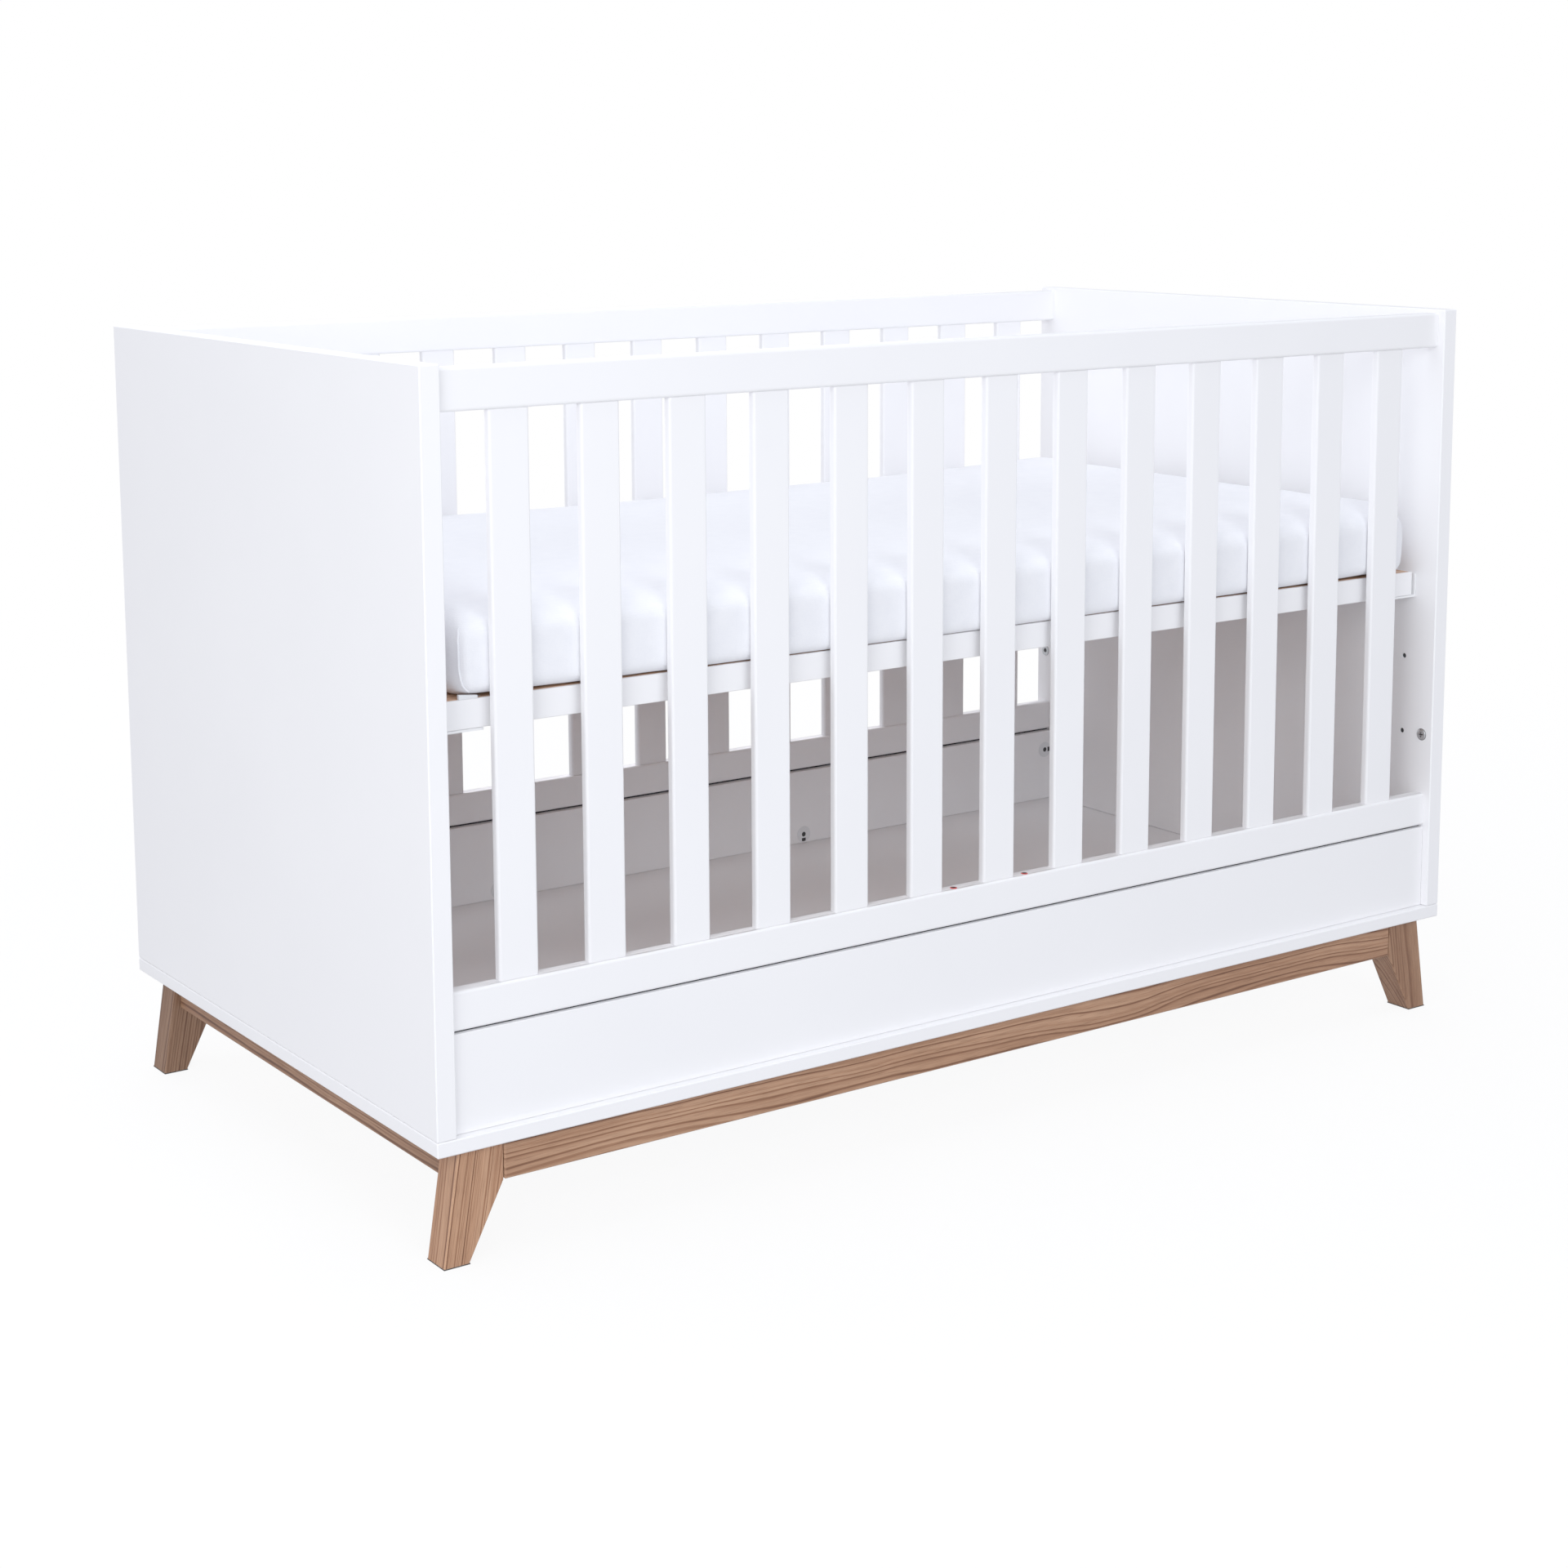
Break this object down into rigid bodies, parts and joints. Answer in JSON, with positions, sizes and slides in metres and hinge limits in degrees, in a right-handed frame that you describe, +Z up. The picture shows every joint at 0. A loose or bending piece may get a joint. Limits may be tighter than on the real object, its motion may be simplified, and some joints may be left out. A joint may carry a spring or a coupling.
{
  "type": "baby crib",
  "caption": "White slatted baby crib with board ends, wood plinth on slanted legs, height-adjustable mattress base, lift-out bars and a mattress.",
  "frame": {"origin": "on the floor under the middle of the crib", "axes": "+X along the crib to its right end as seen from the front, +Y from front to rear, +Z up"},
  "size_m": [1.45, 0.7674, 0.9025],
  "materials": {
    "white_paint": "satin",
    "ash_wood": "satin",
    "birch_ply": "matte",
    "white_steel": "satin",
    "zinc_steel": "satin",
    "mattress_cover": "matte",
    "white_plastic": "matte",
    "red_plastic": "matte",
    "black_plastic": "matte"
  },
  "bodies": {
    "crib_frame": {"left_end_panel": "white_paint", "right_end_panel": "white_paint", "base_board": "white_paint", "front_apron": "white_paint", "rear_apron": "white_paint", "front_top_rail": "white_paint", "front_bottom_rail": "white_paint", "rear_top_rail": "white_paint", "rear_bottom_rail": "white_paint", "front_slat_01": "white_paint", "front_slat_02": "white_paint", "front_slat_03": "white_paint", "front_slat_04": "white_paint", "front_slat_05": "white_paint", "front_slat_08": "white_paint", "front_slat_09": "white_paint", "front_slat_10": "white_paint", "front_slat_11": "white_paint", "front_slat_12": "white_paint", "front_slat_13": "white_paint", "rear_slat_01": "white_paint", "rear_slat_02": "white_paint", "rear_slat_03": "white_paint", "rear_slat_04": "white_paint", "rear_slat_05": "white_paint", "rear_slat_06": "white_paint", "rear_slat_07": "white_paint", "rear_slat_08": "white_paint", "rear_slat_09": "white_paint", "rear_slat_10": "white_paint", "rear_slat_11": "white_paint", "rear_slat_12": "white_paint", "rear_slat_13": "white_paint", "front_left_leg": "ash_wood", "front_right_leg": "ash_wood", "front_plinth_rail": "ash_wood", "rear_left_leg": "ash_wood", "rear_right_leg": "ash_wood", "rear_plinth_rail": "ash_wood", "left_plinth_rail": "ash_wood", "right_plinth_rail": "ash_wood"},
    "mattress_base": {"deck_rail_front": "white_paint", "deck_rail_rear": "white_paint", "deck_board": "birch_ply", "deck_batten_left": "birch_ply", "deck_batten_middle": "birch_ply", "deck_batten_right": "birch_ply", "deck_angle_left": "white_steel", "deck_bolt_left_front": "zinc_steel", "deck_bolt_left_rear": "zinc_steel", "deck_angle_right": "white_steel", "deck_bolt_right_front": "zinc_steel", "deck_bolt_right_rear": "zinc_steel"},
    "mattress": {"mattress": "mattress_cover"},
    "bar_06": {"front_slat_06": "white_paint"},
    "bar_07": {"front_slat_07": "white_paint"}
  },
  "joints": [
    {"name": "mattress_base_height", "type": "slide", "parent": "crib_frame", "child": "mattress_base", "axis": [0, 0, 1], "range_m": [-0.1958, 0]},
    {"name": "mattress_lift", "type": "slide", "parent": "mattress_base", "child": "mattress", "axis": [0, 0, 1], "range_m": [0, 0.55]},
    {"name": "bar_06_lift", "type": "slide", "parent": "crib_frame", "child": "bar_06", "axis": [0, 0, 1], "range_m": [0, 0.0095]},
    {"name": "bar_07_lift", "type": "slide", "parent": "crib_frame", "child": "bar_07", "axis": [0, 0, 1], "range_m": [0, 0.0095]}
  ]
}
